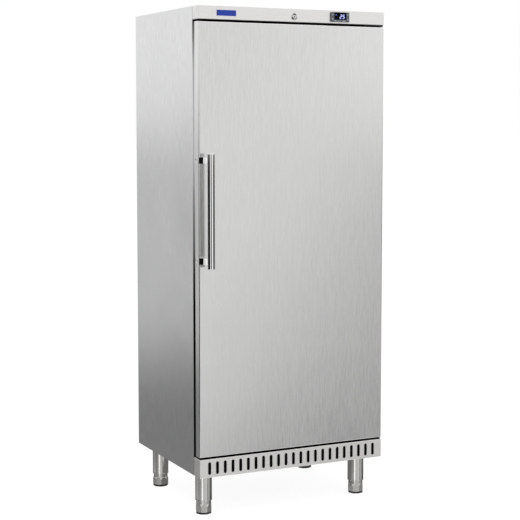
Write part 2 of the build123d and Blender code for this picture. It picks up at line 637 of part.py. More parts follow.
with BuildPart() as handle_screws:
    for pz in POST_Z:
        rod("X", 12.0, -HW + 0.1, -HW + 6, SCREW_Y, pz)
    fillet(handle_screws.faces().filter_by(Axis.X).group_by(Axis.X)[0].edges(), 1.5)
    with BuildSketch(Plane.YZ.offset(-HW)):
        for pz in POST_Z:
            with Locations((SCREW_Y, pz)):
                RegularPolygon(5.5, 6, major_radius=False)
    extrude(amount=4, mode=Mode.SUBTRACT)
save(handle_screws.part, "handle_screws")
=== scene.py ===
import math
import random

import bmesh
import bpy
from mathutils import Matrix, Vector


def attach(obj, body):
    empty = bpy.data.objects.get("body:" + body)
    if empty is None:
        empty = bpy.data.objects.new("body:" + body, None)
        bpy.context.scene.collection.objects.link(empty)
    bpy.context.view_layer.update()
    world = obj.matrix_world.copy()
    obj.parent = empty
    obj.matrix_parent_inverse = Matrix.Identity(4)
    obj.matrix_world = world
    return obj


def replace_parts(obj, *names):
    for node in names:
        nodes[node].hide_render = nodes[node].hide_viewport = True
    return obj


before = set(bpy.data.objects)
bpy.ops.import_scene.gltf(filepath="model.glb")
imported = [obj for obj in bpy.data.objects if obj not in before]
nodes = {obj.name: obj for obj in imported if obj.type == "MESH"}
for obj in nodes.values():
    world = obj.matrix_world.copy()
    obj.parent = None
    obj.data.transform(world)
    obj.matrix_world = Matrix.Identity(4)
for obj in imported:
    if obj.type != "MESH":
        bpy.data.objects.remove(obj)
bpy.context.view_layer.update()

scene = bpy.context.scene
MM = 0.001

# ------------------------------------------------------------------ dimensions (mm), the frame's own
HW, H = 388.5, 1895.0
YF, YC, YB = -286.5, -231.5, 347.5
DY1 = -244.5
D_BOT, D_TOP = 237.0, 1838.0
BAR_X, BAR_Y, BAR_R = -361.5, -334.0, 13.5
BAR_Z0, BAR_Z1 = 942.0, 1362.0
POST_Z = [968.0, 1336.0]
LEGS = {"front_left": (-331.0, -186.5, 3.6), "front_right": (331.0, -186.5, 41.9),
        "rear_left": (-331.0, 250.5, 28.3), "rear_right": (331.0, 250.5, 12.0)}  # x, y, turn of the foot
THX, THZ = 192.0, 1869.5


# ================================================================== camera
# Level enough to keep uprights straight: a slight look down and a small vertical shift, as in the photograph.
cam_data = bpy.data.cameras.new("camera")
cam = bpy.data.objects.new("camera", cam_data)
scene.collection.objects.link(cam)
cam_data.sensor_fit = "HORIZONTAL"
cam_data.sensor_width = 36.0
cam_data.lens = 93.6857
cam_data.shift_y = -0.05
cam_data.clip_start, cam_data.clip_end = 0.05, 200.0
cam.location = (-2.34113, -4.79601, 1.48073)
yaw, pitch = math.radians(25.9951), math.radians(-4.7932)
look = Vector((math.sin(yaw) * math.cos(pitch), math.cos(yaw) * math.cos(pitch), math.sin(pitch)))
cam.rotation_mode = "QUATERNION"
cam.rotation_quaternion = look.to_track_quat("-Z", "Y")
scene.camera = cam


# ================================================================== node helpers
class Graph:
    """A material under construction: one principled shader and the nodes that feed it."""

    def __init__(self, name):
        self.m = bpy.data.materials.new(name)
        self.m.use_nodes = True
        self.t = self.m.node_tree
        self.t.nodes.clear()
        self.out = self.add("ShaderNodeOutputMaterial")
        self.b = self.add("ShaderNodeBsdfPrincipled")
        self.join(self.b.outputs[0], self.out.inputs["Surface"])
        self._coord = None

    def add(self, kind, **props):
        n = self.t.nodes.new(kind)
        for k, v in props.items():
            setattr(n, k, v)
        return n

    def join(self, a, b):
        self.t.links.new(a, b)

    def set(self, **values):
        for k, v in values.items():
            self.b.inputs[k.replace("_", " ")].default_value = v
        return self

    def coord(self):
        if self._coord is None:
            self._coord = self.add("ShaderNodeTexCoord").outputs["Object"]
        return self._coord

    def noise(self, scale=(1, 1, 1), size=1.0, detail=3.0, rough=0.55, distort=0.0):
        mp = self.add("ShaderNodeMapping")
        mp.inputs["Scale"].default_value = scale
        self.join(self.coord(), mp.inputs["Vector"])
        n = self.add("ShaderNodeTexNoise")
        n.inputs["Scale"].default_value = size
        n.inputs["Detail"].default_value = detail
        n.inputs["Roughness"].default_value = rough
        n.inputs["Distortion"].default_value = distort
        self.join(mp.outputs[0], n.inputs["Vector"])
        return n.outputs["Fac"]

    def voronoi(self, scale=(1, 1, 1), size=1.0, feature="F1", out="Distance"):
        mp = self.add("ShaderNodeMapping")
        mp.inputs["Scale"].default_value = scale
        self.join(self.coord(), mp.inputs["Vector"])
        n = self.add("ShaderNodeTexVoronoi", feature=feature)
        n.inputs["Scale"].default_value = size
        self.join(mp.outputs[0], n.inputs["Vector"])
        return n.outputs[out]

    def spread(self, fac, lo, hi, a=0.3, b=0.7):
        r = self.add("ShaderNodeMapRange")
        r.inputs["From Min"].default_value = a
        r.inputs["From Max"].default_value = b
        r.inputs["To Min"].default_value = lo
        r.inputs["To Max"].default_value = hi
        self.join(fac, r.inputs["Value"])
        return r.outputs["Result"]

    def math(self, op, a, b=0.0):
        n = self.add("ShaderNodeMath", operation=op)
        for i, v in enumerate((a, b)):
            if isinstance(v, (int, float)):
                n.inputs[i].default_value = v
            else:
                self.join(v, n.inputs[i])
        return n.outputs[0]

    def mix(self, fac, c1, c2, blend="MIX"):
        n = self.add("ShaderNodeMix", data_type="RGBA", blend_type=blend)
        for sock, v in ((n.inputs[0], fac), (n.inputs[6], c1), (n.inputs[7], c2)):
            if isinstance(v, (int, float)):
                sock.default_value = v
            elif isinstance(v, (tuple, list)):
                sock.default_value = (*v[:3], 1.0)
            else:
                self.join(v, sock)
        return n.outputs[2]

    def bump(self, height, strength=0.3, distance=0.0005, after=None):
        n = self.add("ShaderNodeBump")
        n.inputs["Strength"].default_value = strength
        n.inputs["Distance"].default_value = distance
        self.join(height, n.inputs["Height"])
        if after is not None:
            self.join(after, n.inputs["Normal"])
        return n.outputs["Normal"]

    def tangent(self, axis):
        n = self.add("ShaderNodeTangent", direction_type="RADIAL", axis=axis)
        self.join(n.outputs[0], self.b.inputs["Tangent"])


def shade(c, k):
    return tuple(max(0.0, min(1.0, v * k)) for v in c)


def brushed(name, base, rough, grain="Z", aniso=0.3, var=0.04, wave=0.35, lines=1.0, streaks=1.0, scale=1.0):
    """Brushed stainless: long fine streaks along the grain, faint smudges, and the slight waviness of thin sheet."""
    g = Graph(name)

    def along(fine, length):
        return {"X": (length, fine, fine), "Y": (fine, length, fine), "Z": (fine, fine, length)}[grain]

    hair = g.noise(along(900.0 * scale, 40.0 * scale), 1.0, 3.0, 0.6)
    fine = g.noise(along(330.0 * scale, 20.0 * scale), 1.0, 3.0, 0.65)
    band = g.noise(along(62.0, 1.6), 1.0, 2.0, 0.5)
    smudge = g.noise((1, 1, 1), 2.6, 4.0, 0.6, 0.4)
    streak = g.math("ADD", g.math("MULTIPLY", hair, 0.34), g.math("ADD", g.math("MULTIPLY", fine, 0.63), g.math("MULTIPLY", band, 0.03)))
    colour = g.mix(g.spread(streak, 0.0, 1.0, 0.38, 0.62), shade(base, 1.0 - var * streaks), shade(base, 1.0 + var * streaks * 0.8))
    colour = g.mix(g.spread(smudge, 0.0, 0.30, 0.45, 0.75), colour, shade(base, 0.965))
    g.join(colour, g.b.inputs["Base Color"])
    r = g.spread(streak, rough - 0.03, rough + 0.03, 0.38, 0.62)
    r = g.math("ADD", r, g.spread(smudge, -0.015, 0.025, 0.35, 0.7))
    g.join(r, g.b.inputs["Roughness"])
    grainy = g.bump(fine, 0.05 * lines, 0.00005)
    low = g.noise((1.0, 1.0, 0.7), 2.6, 1.0, 0.4)
    normal = g.bump(low, wave, 0.0012, grainy)
    g.join(normal, g.b.inputs["Normal"])
    g.set(Metallic=1.0, Anisotropic=aniso)
    g.tangent({"X": "X", "Y": "Y", "Z": "Z"}[grain])
    return g.m


def satin_tube(name, base, rough, var=0.04):
    """Turned and polished tube: hair-fine rings round it and a few rubbed patches."""
    g = Graph(name)
    rings = g.noise((14.0, 14.0, 1500.0), 1.0, 3.0, 0.6)
    rub = g.noise((1, 1, 0.6), 34.0, 4.0, 0.6, 0.5)
    tone = g.math("ADD", g.math("MULTIPLY", rings, 0.5), g.math("MULTIPLY", rub, 0.5))
    g.join(g.mix(g.spread(tone, 0, 1, 0.36, 0.64), shade(base, 1 - var), shade(base, 1 + var)), g.b.inputs["Base Color"])
    g.join(g.math("ADD", g.spread(rings, -0.02, 0.02, 0.36, 0.64), g.spread(rub, rough - 0.03, rough + 0.06, 0.35, 0.68)), g.b.inputs["Roughness"])
    g.join(g.bump(rub, 0.10, 0.0004, g.bump(rings, 0.03, 0.00005)), g.b.inputs["Normal"])
    g.set(Metallic=1.0)
    return g.m


def foam_rubber(name, base, cell=650.0):
    """Open-cell foam or matt sponge rubber."""
    g = Graph(name)
    c = g.voronoi((1, 1, 1), cell, "F1", "Distance")
    n = g.noise((1, 1, 1), 60.0, 3.0)
    g.join(g.mix(g.spread(c, 0, 1, 0.1, 0.7), shade(base, 0.4), shade(base, 1.5)), g.b.inputs["Base Color"])
    g.join(g.spread(n, 0.78, 0.95), g.b.inputs["Roughness"])
    g.join(g.bump(c, 0.5, 0.0006), g.b.inputs["Normal"])
    g.set(Metallic=0.0)
    g.b.inputs["Specular IOR Level"].default_value = 0.04
    return g.m


def gap_trim_painted_light(name):
    """Edge trim in two tones of painted light and shade: black painted shade below, running out into a grey painted
    reflection of light above.
    """
    g = Graph(name)
    sep = g.add("ShaderNodeSeparateXYZ")
    g.join(g.coord(), sep.inputs[0])
    n = g.noise((1, 1, 1), 55.0, 3.0)
    h = g.math("ADD", g.spread(sep.outputs[2], 0.0, 1.0, 0.2, 1.9), g.spread(n, -0.012, 0.012))
    ramp = g.add("ShaderNodeValToRGB")
    r = ramp.color_ramp
    # the stops: black painted shade low on the trim, grey painted reflected light higher up
    stops = [(0.0, 0.0012), (0.62, 0.0012), (0.72, 0.03), (0.80, 0.11), (0.97, 0.24), (1.14, 0.50), (1.36, 0.56), (1.50, 0.48), (1.58, 0.24), (1.65, 0.06)]
    for e, (z, level) in ((r.elements[0], stops[0]), (r.elements[1], stops[-1])):
        e.position = z / 1.7
        e.color = (level, level, level * 1.02, 1)
    for z, level in stops[1:-1]:
        r.elements.new(z / 1.7).color = (level, level, level * 1.02, 1)
    g.join(h, ramp.inputs["Fac"])
    g.join(ramp.outputs["Color"], g.b.inputs["Base Color"])
    g.join(g.spread(n, 0.7, 0.9), g.b.inputs["Roughness"])
    g.set(Metallic=0.0)
    g.b.inputs["Specular IOR Level"].default_value = 0.04
    return g.m


def plain_metal(name, base, rough, var=0.04, size=40.0, bump=0.05, metallic=1.0):
    g = Graph(name)
    n = g.noise((1, 1, 1), size, 4.0, 0.6)
    m = g.noise((1, 1, 1), size * 9, 3.0, 0.6)
    g.join(g.mix(g.spread(n, 0, 1), shade(base, 1 - var), shade(base, 1 + var)), g.b.inputs["Base Color"])
    g.join(g.spread(m, rough * 0.85, rough * 1.2), g.b.inputs["Roughness"])
    g.join(g.bump(m, bump, 0.0001), g.b.inputs["Normal"])
    g.set(Metallic=metallic)
    return g.m


def galvanised(name, base, rough=0.42):
    """Zinc-coated sheet with its spangle."""
    g = Graph(name)
    cell = g.voronoi((1, 1, 1), 95.0, "F1", "Color")
    sep = g.add("ShaderNodeSeparateColor")
    g.join(cell, sep.inputs[0])
    n = g.noise((1, 1, 1), 30.0, 3.0)
    tone = g.math("ADD", g.math("MULTIPLY", sep.outputs[0], 0.65), g.math("MULTIPLY", n, 0.35))
    g.join(g.mix(g.spread(tone, 0, 1, 0.1, 0.9), shade(base, 0.86), shade(base, 1.1)), g.b.inputs["Base Color"])
    g.join(g.spread(tone, rough - 0.08, rough + 0.1, 0.1, 0.9), g.b.inputs["Roughness"])
    g.join(g.bump(n, 0.12, 0.0003), g.b.inputs["Normal"])
    g.set(Metallic=0.85)
    return g.m


def plastic(name, base, rough=0.4, grain=900.0, bump=0.12, var=0.05, coat=0.0, ior=1.5, spec=0.5):
    """Moulded plastic with a fine spark-eroded texture."""
    g = Graph(name)
    n = g.noise((1, 1, 1), grain, 3.0, 0.6)
    big = g.noise((1, 1, 1), 9.0, 3.0, 0.5)
    g.join(g.mix(g.spread(big, 0, 1, 0.35, 0.65), shade(base, 1 - var), shade(base, 1 + var)), g.b.inputs["Base Color"])
    g.join(g.spread(n, max(0.03, rough - 0.06), rough + 0.06), g.b.inputs["Roughness"])
    g.join(g.bump(n, bump, 0.00012), g.b.inputs["Normal"])
    g.set(Metallic=0.0, IOR=ior, Coat_Weight=coat, Coat_Roughness=0.08)
    g.b.inputs["Specular IOR Level"].default_value = spec
    return g.m


def glow(name, colour, strength):
    g = Graph(name)
    n = g.noise((1, 1, 1), 420.0, 2.0)
    g.join(g.mix(g.spread(n, 0, 1), shade(colour, 0.93), shade(colour, 1.05)), g.b.inputs["Emission Color"])
    g.join(g.mix(g.spread(n, 0, 1), shade(colour, 0.5), shade(colour, 0.6)), g.b.inputs["Base Color"])
    g.b.inputs["Emission Strength"].default_value = strength
    g.set(Roughness=0.35)
    return g.m


STEEL = (0.70, 0.70, 0.692)
M = {}
M["door"] = brushed("steel_door", STEEL, 0.185, "Z", 0.3, var=0.056)
M["side"] = brushed("steel_side", (0.695, 0.70, 0.70), 0.20, "Z", 0.3, var=0.12, scale=0.85)
M["trim"] = brushed("steel_trim", (0.808, 0.799, 0.782), 0.34, "X", 0.2, var=0.04, wave=0.12)
M["top"] = brushed("steel_top", (0.70, 0.70, 0.695), 0.26, "X", 0.3)
M["frame"] = brushed("steel_frame", (0.62, 0.62, 0.61), 0.30, "Z", 0.3)
M["back"] = galvanised("zinc_back", (0.62, 0.64, 0.65))
M["zinc"] = galvanised("zinc_sheet", (0.60, 0.62, 0.63), 0.38)
M["leg"] = satin_tube("steel_leg", (0.63, 0.62, 0.60), 0.14)
M["foot"] = satin_tube("steel_foot", (0.56, 0.552, 0.533), 0.24, 0.10)
M["polish"] = plain_metal("steel_polished", (0.86, 0.86, 0.85), 0.05, 0.015, 26.0, 0.015)
M["post"] = plain_metal("steel_post", (0.93, 0.93, 0.92), 0.30, 0.02, 40.0, 0.02, metallic=0.12)
M["screw"] = plain_metal("steel_screw", (0.80, 0.80, 0.79), 0.20, 0.05, 90.0, 0.06)
M["white"] = plastic("liner_white", (0.74, 0.76, 0.755), 0.30, 260.0, 0.05, 0.015)
M["cover"] = plastic("cover_white", (0.76, 0.78, 0.78), 0.38, 500.0, 0.10, 0.02)
M["wire"] = plastic("wire_coating", (0.66, 0.68, 0.69), 0.24, 600.0, 0.05, 0.03, coat=0.5)
M["rail"] = plain_metal("rail_steel", (0.70, 0.71, 0.71), 0.34, 0.04, 30.0, 0.05)
M["black"] = plastic("plastic_black", (0.010, 0.010, 0.011), 0.42, 800.0, 0.12, 0.10, spec=0.22)
M["shoe"] = plastic("shoe_black", (0.0020, 0.0020, 0.0022), 0.46, 800.0, 0.12, 0.10, spec=0.06)
M["rubber"] = plastic("rubber_gasket", (0.016, 0.016, 0.017), 0.58, 500.0, 0.10, 0.12, spec=0.25)
# near-black sponge: the colour of the strips and lines of painted shade in the gaps and seams
M["sponge"] = foam_rubber("rubber_sponge", (0.0012, 0.0012, 0.0014))
# trim colour: painted shade below, painted reflected light above
M["edge"] = gap_trim_painted_light("edge_trim")
M["filter"] = foam_rubber("filter_foam", (0.0015, 0.0015, 0.0017), 420.0)
M["grey"] = plastic("plastic_grey", (0.078, 0.080, 0.084), 0.40, 900.0, 0.14, 0.05, spec=0.35)
M["key"] = plastic("key_rubber", (0.125, 0.135, 0.155), 0.48, 900.0, 0.10, 0.05, spec=0.35)
M["glass"] = plastic("window_tint", (0.0015, 0.0015, 0.002), 0.06, 60.0, 0.0, 0.2, spec=0.03)
M["nylon"] = plastic("nylon", (0.66, 0.66, 0.62), 0.45, 500.0, 0.06, 0.03)
M["fin"] = plain_metal("fin_aluminium", (0.74, 0.75, 0.76), 0.30, 0.05, 120.0, 0.08)
M["enamel"] = plastic("enamel_black", (0.010, 0.010, 0.011), 0.24, 160.0, 0.10, 0.2, coat=0.2, spec=0.3)
M["copper"] = plain_metal("copper_tube", (0.72, 0.36, 0.22), 0.26, 0.12, 35.0, 0.05)
M["lamp"] = glow("lamp_diffuser", (0.93, 0.97, 1.0), 2.2)
M["plate"] = plastic("plate_blue", (0.016, 0.036, 0.275), 0.34, 300.0, 0.04, 0.06, spec=0.22)
M["rim"] = plain_metal("plate_rim", (0.86, 0.86, 0.90), 0.22, 0.03, 60.0, 0.03)
M["foam"] = plastic("foam", (0.72, 0.62, 0.36), 0.8, 220.0, 0.4, 0.06)
M["digit"] = glow("digit_core", (0.52, 0.58, 1.0), 1.1)
M["halo"] = glow("digit_halo", (0.02, 0.025, 0.50), 0.55)
M["mark"] = plastic("mark_pale", (0.40, 0.44, 0.54), 0.4, 500.0, 0.03, 0.04)
M["led"] = glow("led_blue", (0.12, 0.15, 0.95), 0.9)
M["bracket"] = plastic("enamel_matt", (0.006, 0.006, 0.007), 0.6, 400.0, 0.10, 0.1, spec=0.1)


def paint(names, m):
    for n in names.split():
        o = nodes[n]
        if not o.material_slots:
            o.data.materials.append(m)
        for s in o.material_slots:
            s.material = m


paint("door_skin", M["door"])
paint("side_panel_left side_panel_right", M["side"])
paint("top_panel", M["top"])
paint("control_fascia front_grille", M["trim"])
paint("front_frame", M["frame"])
paint("back_panel", M["back"])
paint("base_plate compartment_shroud rear_cover condenser_fan_shroud", M["zinc"])
paint("hinge_bracket_top hinge_bracket_bottom", M["bracket"])
paint("cabinet_screws", M["screw"])
paint("evaporator_fan_guard", M["rail"])
paint("inner_liner door_liner", M["white"])
paint("evaporator_cover", M["cover"])
paint("wire_shelf_1 wire_shelf_2 wire_shelf_3 wire_shelf_4", M["wire"])
paint("shelf_pilasters shelf_clips", M["rail"])
paint("insulation_foam door_foam", M["foam"])
paint("handle_bar lock_housing lock_cylinder", M["polish"])
paint("handle_posts", M["post"])
paint("handle_screws", M["screw"])
paint("handle_shoes compressor_terminal_cover cord_gland evaporator_fan_blade condenser_fan_blade", M["black"])
paint("evaporation_tray", M["grey"])
paint("thermostat_body", M["grey"])
paint("key_up key_down key_set key_light", M["key"])
paint("thermostat_window", M["glass"])
paint("interior_lamp", M["lamp"])
paint("blank_nameplate", M["plate"])
paint("door_gasket compressor_mounts", M["rubber"])
paint("hinge_bushes", M["nylon"])
paint("evaporator_coil condenser_coil", M["fin"])
paint("compressor condenser_fan_motor evaporator_fan_motor", M["enamel"])
paint("refrigerant_pipes", M["copper"])
paint("leg_tubes", M["leg"])
paint("foot_front_left foot_front_right foot_rear_left foot_rear_right", M["foot"])


# ================================================================== mesh helpers
def make(name, bm, material, body, smooth=35.0):
    """Turns a bmesh in millimetres into a piece of the object."""
    bmesh.ops.recalc_face_normals(bm, faces=bm.faces)
    me = bpy.data.meshes.new(name)
    for v in bm.verts:
        v.co *= MM
    bm.to_mesh(me)
    bm.free()
    me.materials.append(material)
    o = bpy.data.objects.new(name, me)
    scene.collection.objects.link(o)
    if smooth:
        me.shade_smooth()
        with bpy.context.temp_override(object=o, active_object=o, selected_objects=[o], selected_editable_objects=[o]):
            bpy.ops.object.shade_smooth_by_angle(angle=math.radians(smooth), keep_sharp_edges=True)
    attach(o, body)
    return o


def lathe(bm, profile, centre, axis="Z", segs=96, radius=None):
    """Turns (r, h) points round an axis; radius(r, h, angle) may change r."""
    rings = []
    for r, h in profile:
        ring = []
        for k in range(segs):
            a = 2 * math.pi * k / segs
            rr = radius(r, h, a) if radius else r
            c, s = rr * math.cos(a), rr * math.sin(a)
            p = {"Z": (c, s, h), "Y": (c, h, s), "X": (h, c, s)}[axis]
            ring.append(bm.verts.new(Vector(p) + Vector(centre)))
        rings.append(ring)
    for a, b in zip(rings, rings[1:]):
        for k in range(segs):
            k2 = (k + 1) % segs
            bm.faces.new((a[k], a[k2], b[k2], b[k]))
    for ring in (rings[0], rings[-1]):
        bm.faces.new(ring)
    return rings


def rounded_rect(w, h, r, segs=6):
    pts = []
    for cx, cy, a0 in ((w / 2 - r, h / 2 - r, 0), (-w / 2 + r, h / 2 - r, 90), (-w / 2 + r, -h / 2 + r, 180), (w / 2 - r, -h / 2 + r, 270)):
        for k in range(segs + 1):
            a = math.radians(a0 + 90 * k / segs)
            pts.append((cx + r * math.cos(a), cy + r * math.sin(a)))
    return pts


def loft(bm, loops, cap=True, close=False):
    rings = [[bm.verts.new(p) for p in loop] for loop in loops]
    n = len(rings[0])
    pairs = list(zip(rings, rings[1:]))
    if close:
        pairs.append((rings[-1], rings[0]))
    for a, b in pairs:
        for k in range(n):
            k2 = (k + 1) % n
            bm.faces.new((a[k], a[k2], b[k2], b[k]))
    if cap and not close:
        bm.faces.new(rings[0])
        bm.faces.new(rings[-1])
    return rings


def slab(bm, x0, x1, y0, y1, z0, z1, bevel=0.0, segs=3):
    """A block with rounded edges."""
    made = bmesh.ops.create_cube(bm, size=1.0)["verts"]
    for v in made:
        v.co = Vector(((x0 + x1) / 2 + v.co.x * (x1 - x0), (y0 + y1) / 2 + v.co.y * (y1 - y0), (z0 + z1) / 2 + v.co.z * (z1 - z0)))
    if bevel:
        es = list({e for v in made for e in v.link_edges})
        bmesh.ops.bevel(bm, geom=es, offset=bevel, segments=segs, profile=0.5, affect="EDGES", clamp_overlap=True)


def panel_xz(bm, cx, cz, w, h, r, y_back, y_front, edge=0.5, segs=6):
    """A rounded plate facing -Y, its front edge softened."""
    loops = []
    for inset, y in ((0, y_back), (0, y_front + edge), (edge * 0.3, y_front + edge * 0.3), (edge, y_front)):
        pts = rounded_rect(w - 2 * inset, h - 2 * inset, max(r - inset, 0.2), segs)
        loops.append([Vector((cx + px, y, cz + pz)) for px, pz in pts])
    loft(bm, loops)


# ================================================================== handle
bm = bmesh.new()
end = [(0.5, 0.9), (9.0, 0.7), (10.6, 0.25), (11.5, 0.0), (12.2, 0.06), (12.9, 0.4), (13.3, 0.95), (BAR_R, 1.8), (BAR_R, 2.1), (BAR_R, 2.6)]
prof = [(r, BAR_Z0 + h) for r, h in end]
prof += [(BAR_R, BAR_Z0 + 2.6 + (BAR_Z1 - BAR_Z0 - 5.2) * k / 24) for k in range(1, 24)]
prof += [(r, BAR_Z1 - h) for r, h in reversed(end)]
lathe(bm, prof, (BAR_X, BAR_Y, 0), "Z", 128)
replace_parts(make("bar_turned", bm, M["polish"], "door", 40), "handle_bar")

bm = bmesh.new()
for pz in POST_Z:
    loops = []
    for y, grow in ((YF - 4.0, 0.0), (YF - 4.5, -0.3), (YF - 5.0, -0.45), (YF - 5.4, -0.5), (YF - 6.0, -0.5), (YF - 14.0, -0.5), (-314.0, -0.5), (-321.0, -0.5), (BAR_Y, -0.5)):
        loops.append([Vector((BAR_X + px, y, pz + q)) for px, q in rounded_rect(24 + 2 * grow, 23 + 2 * grow, 2.2, 8)])
    loft(bm, loops)
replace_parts(make("posts_cast", bm, M["post"], "door", 35), "handle_posts")

bm = bmesh.new()
for pz in POST_Z:
    panel_xz(bm, (-HW + 0.1 - 346.0) / 2, pz, 42.4, 23.4, 2.0, YF, YF - 4.0, 0.7, 6)
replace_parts(make("shoes_moulded", bm, M["shoe"], "door", 35), "handle_shoes")


def hexed(r, h, a):
    return r if r > 6.5 else r * math.cos(math.pi / 6) / math.cos((a % (math.pi / 3)) - math.pi / 6)


bm = bmesh.new()
for pz in POST_Z:
    x0 = -HW + 0.1
    prof = [(0.4, x0 + 4.0), (6.2, x0 + 4.0), (6.2, x0 + 0.6), (6.9, x0 + 0.05), (10.3, x0), (11.2, x0 + 0.25), (11.8, x0 + 0.8), (12.0, x0 + 1.6), (12.0, x0 + 5.9)]
    lathe(bm, prof, (0, YF + 25.0, pz), "X", 96, hexed)
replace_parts(make("socket_screws", bm, M["screw"], "door", 35), "handle_screws")


# ================================================================== legs and feet
bm = bmesh.new()
for lx, ly, turn in LEGS.values():
    # bore, with the plate that carries the nut of the foot
    prof = [(10, 157.0), (30.6, 157.0), (30.6, 130.0), (30.6, 114.0), (9.0, 114.0), (8.5, 113.4), (8.5, 102.6), (9.0, 102.0), (30.6, 102.0), (30.6, 80.0), (30.6, 60.0), (30.6, 51.6), (30.8, 51.1), (31.3, 51.0), (31.9, 51.3), (32.0, 51.9), (32.0, 53.2), (31.95, 53.8), (31.8, 54.4), (31.8, 55.2), (31.8, 62), (31.8, 75), (31.8, 90), (31.8, 105), (31.8, 120), (31.8, 135),
            (31.8, 150), (31.8, 153.0), (31.9, 154.2), (32.4, 156.0), (33.6, 157.0), (35.4, 157.4), (35.8, 158.0), (35.8, 159.6), (35.4, 160.0), (10, 160.0)]
    lathe(bm, prof, (lx, ly, 0), "Z", 96)
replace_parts(make("tubes_turned", bm, M["leg"], "cabinet", 35), "leg_tubes")


def octagon(half, a):
    return half / math.cos((a % (math.pi / 4)) - math.pi / 8)


for name, (lx, ly, turn) in LEGS.items():
    t = math.radians(turn)

    def foot_radius(r, z, a):
        """Eight flats below, their corners turned off towards the round sleeve, which leaves pointed arches."""
        if z > 39.0 or z < 6.4:
            return r
        flat = octagon(28.6, a - t)
        cone = 31.2 if z < 26 else max(28.5, 31.2 - (z - 26.0) * 2.7 / 12.0)
        edge = 28.1 + max(0.0, z - 6.5) * 1.6
        return max(28.5 if z > 8 else 0, min(flat, cone, edge))

    bm = bmesh.new()
    prof = [(0.5, 6.1), (27.6, 6.1), (28.1, 6.5)]
    prof += [(28.5, z) for z in (7.0, 7.6, 8.3, 10, 13, 16, 19, 22, 24, 25.5, 26.3, 27, 28, 29, 30, 31, 32, 33, 34, 35, 36, 37, 38, 39, 41, 44, 49, 56, 64, 74, 84, 86)]
    prof += [(27.6, 87.4), (26.6, 88), (8.6, 88), (8.0, 88.6)]
    prof += [(8.0 if k % 2 else 7.3, 90.0 + k) for k in range(47)]
    prof += [(6.6, 138), (0.5, 138)]
    lathe(bm, prof, (lx, ly, 0), "Z", 192, foot_radius)
    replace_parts(make("foot_turned_" + name, bm, M["foot"], "adjustable_foot_" + name, 12), "foot_" + name)

    # the moulded pad under the foot, the same octagon a little smaller
    def pad_radius(r, z, a):
        return min(octagon(28.0, a - t), r + 30.4 - 28.0) if r > 26 else r

    bm = bmesh.new()
    prof = [(0.5, 0.5), (22.0, 0.45), (24.2, 0.1), (26.6, 0.0), (27.6, 0.3), (28.0, 0.9), (28.0, 3.5), (28.0, 5.6), (27.7, 6.2), (26.2, 6.4), (0.5, 6.4)]
    lathe(bm, prof, (lx, ly, 0), "Z", 192, pad_radius)
    make("foot_pad_" + name, bm, M["black"], "adjustable_foot_" + name, 12)


# ================================================================== gasket
def ring_points(hx, z0, z1, r, segs=8):
    pts = rounded_rect(2 * hx, z1 - z0, r, segs)
    cz = (z0 + z1) / 2
    return [(px, cz + pz) for px, pz in pts]


section = [(0.0, DY1 - 1.2), (0.0, -243.2), (1.6, -242.0), (2.6, -240.4), (1.4, -238.8), (0.4, -237.2), (1.2, -235.6), (0.2, -234.2), (0.3, -232.8), (1.2, -231.9),
           (9.0, -231.85), (16.8, -231.9), (17.7, -232.8), (17.8, -234.2), (16.8, -235.6), (17.6, -237.2), (16.6, -238.8), (15.4, -240.4), (16.4, -242.0), (18.0, -243.2), (18.0, DY1 - 1.2)]
bm = bmesh.new()
loops = []
for inset, y in section:
    loops.append([Vector((px, y, pz)) for px, pz in ring_points(364.5 - inset, D_BOT + 24 + inset, D_TOP - 24 - inset, max(6.0 - inset, 1.2) if inset < 9 else 1.2, 8)])
loft(bm, loops, close=True)
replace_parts(make("gasket_bellows", bm, M["rubber"], "door", 40), "door_gasket")


# ================================================================== thermostat: figures, marks and small lamps
SEG = {"0": "abcdef", "1": "bc", "2": "abged", "3": "abgcd", "4": "fgbc", "5": "afgcd", "6": "afgedc", "7": "abc", "8": "abcdefg", "9": "abcdfg"}


def digit(bm, ch, x, z, w, h, y, t=2.3, lean=0.12):
    """One seven-segment figure with its lower left corner at x, z."""
    g = 0.35
    mid = z + h / 2
    bars = {"a": ((x, z + h), (x + w, z + h)), "g": ((x, mid), (x + w, mid)), "d": ((x, z), (x + w, z)),
            "f": ((x, mid), (x, z + h)), "b": ((x + w, mid), (x + w, z + h)), "e": ((x, z), (x, mid)), "c": ((x + w, z), (x + w, mid))}
    for s in SEG[ch]:
        (ax, az), (bx, bz) = bars[s]
        a, b = Vector((ax, az)), Vector((bx, bz))
        d = (b - a).normalized()
        n = Vector((-d.y, d.x)) * t / 2
        a, b = a + d * g, b - d * g
        outline = [a, a + d * t / 2 + n, b - d * t / 2 + n, b, b - d * t / 2 - n, a + d * t / 2 - n]
        front, back = [], []
        for p in outline:
            px = p.x + (p.y - z) * lean
            front.append(bm.verts.new((px, y - 0.12, p.y)))
            back.append(bm.verts.new((px, y, p.y)))
        bm.faces.new(front)
        bm.faces.new(back)
        for k in range(6):
            bm.faces.new((front[k], front[(k + 1) % 6], back[(k + 1) % 6], back[k]))


WIN_Y = YF - 4.3
FIGURES = (("2", THX - 1.0), ("5", THX + 10.6))
bm = bmesh.new()
for ch, fx in FIGURES:
    digit(bm, ch, fx, 1864.8, 7.2, 13.4, WIN_Y, 3.9, 0.18)
make("display_glow", bm, M["halo"], "cabinet", 0)
bm = bmesh.new()
for ch, fx in FIGURES:
    digit(bm, ch, fx, 1864.8, 7.2, 13.4, WIN_Y - 0.13, 1.9, 0.18)
make("display_figures", bm, M["digit"], "cabinet", 0)

bm = bmesh.new()
for lx, lz, lr in ((THX - 17.0, 1877.2, 1.9), (THX - 13.2, 1866.8, 0.6), (THX - 17.4, 1866.4, 0.5)):
    lathe(bm, [(0.3, WIN_Y - 0.16), (lr * 0.7, WIN_Y - 0.14), (lr, WIN_Y - 0.05), (lr, WIN_Y)], (lx, 0, lz), "Y", 24)
make("display_lamps", bm, M["led"], "cabinet", 35)


